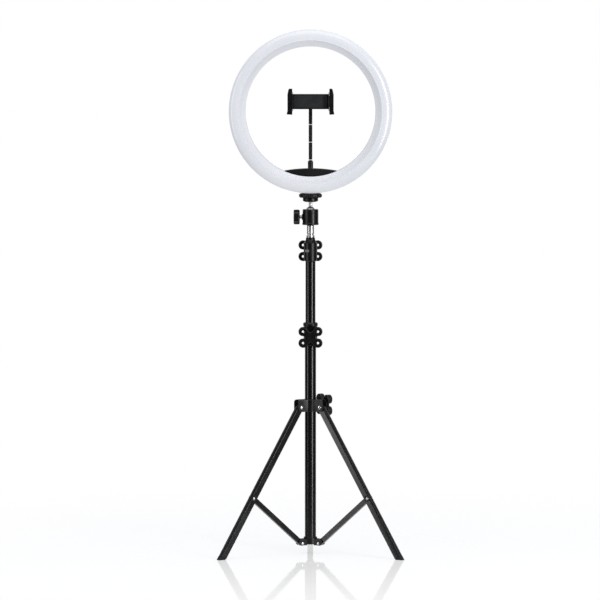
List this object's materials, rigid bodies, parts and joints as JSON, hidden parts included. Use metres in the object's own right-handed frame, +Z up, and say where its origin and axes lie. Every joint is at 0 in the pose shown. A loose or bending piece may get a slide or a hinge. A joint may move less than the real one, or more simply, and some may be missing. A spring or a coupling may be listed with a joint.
{
  "type": "ring light",
  "caption": "Ring lamp on a ball head, telescopic column and folding tripod, with a bendable neck that carries a phone clamp inside the ring.",
  "frame": {"origin": "centre of the bounding box in plan, on the plane the feet stand on", "axes": "+Z up along the column, the lamp faces -Y, +X to the right when seen from the front"},
  "size_m": [0.2974, 0.258, 0.8372],
  "materials": {
    "milky_diffuser": "satin milky",
    "black_plastic": "satin",
    "black_powder_coat": "satin powder coat",
    "grey_sheen_panel": "gloss",
    "black_rubber": "matt",
    "bright_steel": "bright plated",
    "brass": "turned",
    "white_board": "matt",
    "black_neck": "satin black"
  },
  "bodies": {
    "stand": {"lower_tube": "black_powder_coat", "bottom_hub": "black_plastic", "mid_collar": "black_plastic"},
    "mid_knob": {"mid_knob": "black_plastic", "mid_clamp_screw": "bright_steel"},
    "middle_section": {"middle_tube": "black_powder_coat", "upper_collar": "black_plastic"},
    "upper_knob": {"upper_knob": "black_plastic", "upper_clamp_screw": "bright_steel"},
    "top_section": {"top_tube": "black_powder_coat", "tube_plug": "black_plastic", "spigot": "bright_steel", "ball_housing": "black_plastic"},
    "ball_knob": {"ball_lock_knob": "black_plastic", "ball_lock_screw": "bright_steel"},
    "ball_cup": {"friction_cup": "white_board"},
    "ball_stem": {"ball_and_stem": "bright_steel", "stem_flange": "black_plastic"},
    "lock_wheel": {"lock_wheel": "black_plastic", "wheel_pad": "black_rubber"},
    "ring_head": {"diffuser": "milky_diffuser", "back_housing": "black_plastic", "led_board": "white_board", "thread_insert": "brass", "holder_bracket": "black_plastic", "bracket_screw_left": "black_plastic", "bracket_screw_right": "black_plastic", "housing_screw_left": "black_plastic", "housing_screw_right": "black_plastic", "cable_gland": "black_rubber", "neck_base": "bright_steel"},
    "neck_lower": {"neck_lower": "black_neck"},
    "neck_middle": {"neck_middle": "black_neck"},
    "neck_upper": {"neck_upper": "black_neck"},
    "neck_elbow": {"neck_elbow": "black_plastic"},
    "swivel_nut": {"swivel_nut": "black_plastic"},
    "phone_clamp": {"holder_body": "black_plastic", "holder_panel": "grey_sheen_panel", "jaw_pad_fixed": "black_rubber", "jaw_spring": "bright_steel"},
    "sliding_jaw": {"sliding_jaw": "black_plastic", "jaw_pad_sliding": "black_rubber"},
    "leg_hub": {"leg_hub": "black_plastic", "leg_rivet_front_left": "bright_steel", "leg_rivet_front_right": "bright_steel", "leg_rivet_rear": "bright_steel"},
    "hub_knob": {"hub_knob": "black_plastic", "hub_clamp_screw": "bright_steel"},
    "leg_front_left": {"leg_front_left": "black_powder_coat", "foot_front_left": "black_rubber", "brace_rivet_front_left": "bright_steel"},
    "brace_front_left": {"brace_front_left": "black_powder_coat"},
    "leg_front_right": {"leg_front_right": "black_powder_coat", "foot_front_right": "black_rubber", "brace_rivet_front_right": "bright_steel"},
    "brace_front_right": {"brace_front_right": "black_powder_coat"},
    "leg_rear": {"leg_rear": "black_powder_coat", "foot_rear": "black_rubber", "brace_rivet_rear": "bright_steel"},
    "brace_rear": {"brace_rear": "black_powder_coat"}
  },
  "joints": [
    {"name": "leg_hub_slide", "type": "slide", "parent": "stand", "child": "leg_hub", "axis": [0, 0, 1], "range_m": [0, 0.06365]},
    {"name": "leg_hinge_front_left", "type": "hinge", "parent": "leg_hub", "child": "leg_front_left", "pos_m": [-0.01749, -0.05055, 0.2358], "axis": [0.5, -0.866, 0], "range_deg": [0, 28.85]},
    {"name": "brace_hinge_front_left", "type": "hinge", "parent": "leg_front_left", "child": "brace_front_left", "pos_m": [-0.09187, -0.09349, 0.09456], "axis": [0.5, -0.866, 0], "range_deg": [-73.06, 0]},
    {"name": "leg_hinge_front_right", "type": "hinge", "parent": "leg_hub", "child": "leg_front_right", "pos_m": [0.01749, -0.05055, 0.2358], "axis": [0.5, 0.866, 0], "range_deg": [0, 28.85]},
    {"name": "brace_hinge_front_right", "type": "hinge", "parent": "leg_front_right", "child": "brace_front_right", "pos_m": [0.09187, -0.09349, 0.09456], "axis": [0.5, 0.866, 0], "range_deg": [-73.06, 0]},
    {"name": "leg_hinge_rear", "type": "hinge", "parent": "leg_hub", "child": "leg_rear", "pos_m": [0, -0.02025, 0.2358], "axis": [-1, 0, 0], "range_deg": [0, 28.85]},
    {"name": "brace_hinge_rear", "type": "hinge", "parent": "leg_rear", "child": "brace_rear", "pos_m": [0, 0.06563, 0.09456], "axis": [-1, 0, 0], "range_deg": [-73.06, 0]},
    {"name": "hub_knob_turn", "type": "hinge", "parent": "leg_hub", "child": "hub_knob", "pos_m": [0, -0.04045, 0.2384], "axis": [0.866, 0.5, 0], "range_deg": [0, 300]},
    {"name": "mid_knob_turn", "type": "hinge", "parent": "stand", "child": "mid_knob", "pos_m": [0, -0.04045, 0.3485], "axis": [0, -1, 0], "range_deg": [0, 300]},
    {"name": "middle_tube_slide", "type": "slide", "parent": "stand", "child": "middle_section", "axis": [0, 0, 1], "range_m": [-0.097, 0.13]},
    {"name": "upper_knob_turn", "type": "hinge", "parent": "middle_section", "child": "upper_knob", "pos_m": [0, -0.04045, 0.4844], "axis": [0, 1, 0], "range_deg": [0, 300]},
    {"name": "top_tube_slide", "type": "slide", "parent": "middle_section", "child": "top_section", "axis": [0, 0, 1], "range_m": [0, 0.2]},
    {"name": "ball_knob_turn", "type": "hinge", "parent": "top_section", "child": "ball_knob", "pos_m": [0, -0.04045, 0.53925], "axis": [-1, 0, 0], "range_deg": [0, 300]},
    {"name": "ball_pan", "type": "hinge", "parent": "top_section", "child": "ball_cup", "pos_m": [0, -0.04045, 0.5493], "axis": [0, 0, 1], "continuous": true},
    {"name": "ball_tilt", "type": "hinge", "parent": "ball_cup", "child": "ball_stem", "pos_m": [0, -0.04045, 0.5493], "axis": [1, 0, 0], "range_deg": [-45, 45]},
    {"name": "lock_wheel_turn", "type": "hinge", "parent": "ball_stem", "child": "lock_wheel", "pos_m": [0, -0.04045, 0.57], "axis": [0, 0, 1], "range_deg": [-180, 180]},
    {"name": "head_turn", "type": "hinge", "parent": "ball_stem", "child": "ring_head", "pos_m": [0, -0.04045, 0.5772], "axis": [0, 0, 1], "continuous": true},
    {"name": "neck_bend_1", "type": "hinge", "parent": "ring_head", "child": "neck_lower", "pos_m": [0, -0.03645, 0.6304], "axis": [1, 0, 0], "range_deg": [-12, 12]},
    {"name": "neck_bend_2", "type": "hinge", "parent": "neck_lower", "child": "neck_middle", "pos_m": [0, -0.03645, 0.6584], "axis": [1, 0, 0], "range_deg": [-12, 12]},
    {"name": "neck_bend_3", "type": "hinge", "parent": "neck_middle", "child": "neck_upper", "pos_m": [0, -0.03645, 0.6864], "axis": [1, 0, 0], "range_deg": [-12, 12]},
    {"name": "neck_bend_4", "type": "hinge", "parent": "neck_upper", "child": "neck_elbow", "pos_m": [0, -0.03645, 0.7144], "axis": [1, 0, 0], "range_deg": [-12, 12]},
    {"name": "holder_tilt", "type": "hinge", "parent": "neck_elbow", "child": "swivel_nut", "pos_m": [0, -0.04665, 0.7234], "axis": [-1, 0, 0], "range_deg": [-15, 15]},
    {"name": "holder_spin", "type": "hinge", "parent": "swivel_nut", "child": "phone_clamp", "pos_m": [0, -0.04665, 0.7234], "axis": [0, 1, 0], "range_deg": [-90, 90]},
    {"name": "jaw_slide", "type": "slide", "parent": "phone_clamp", "child": "sliding_jaw", "axis": [1, 0, 0], "range_m": [0, 0.025], "stiffness_N_per_m": 60, "springref_m": -0.03}
  ],
  "couplings": [
    {"joint": "leg_hinge_front_left", "follows": "leg_hub_slide", "rad_per_m": 7.8972},
    {"joint": "brace_hinge_front_left", "follows": "leg_hub_slide", "rad_per_m": -20.02},
    {"joint": "leg_hinge_front_right", "follows": "leg_hub_slide", "rad_per_m": 7.8972},
    {"joint": "brace_hinge_front_right", "follows": "leg_hub_slide", "rad_per_m": -20.02},
    {"joint": "leg_hinge_rear", "follows": "leg_hub_slide", "rad_per_m": 7.8972},
    {"joint": "brace_hinge_rear", "follows": "leg_hub_slide", "rad_per_m": -20.02}
  ]
}
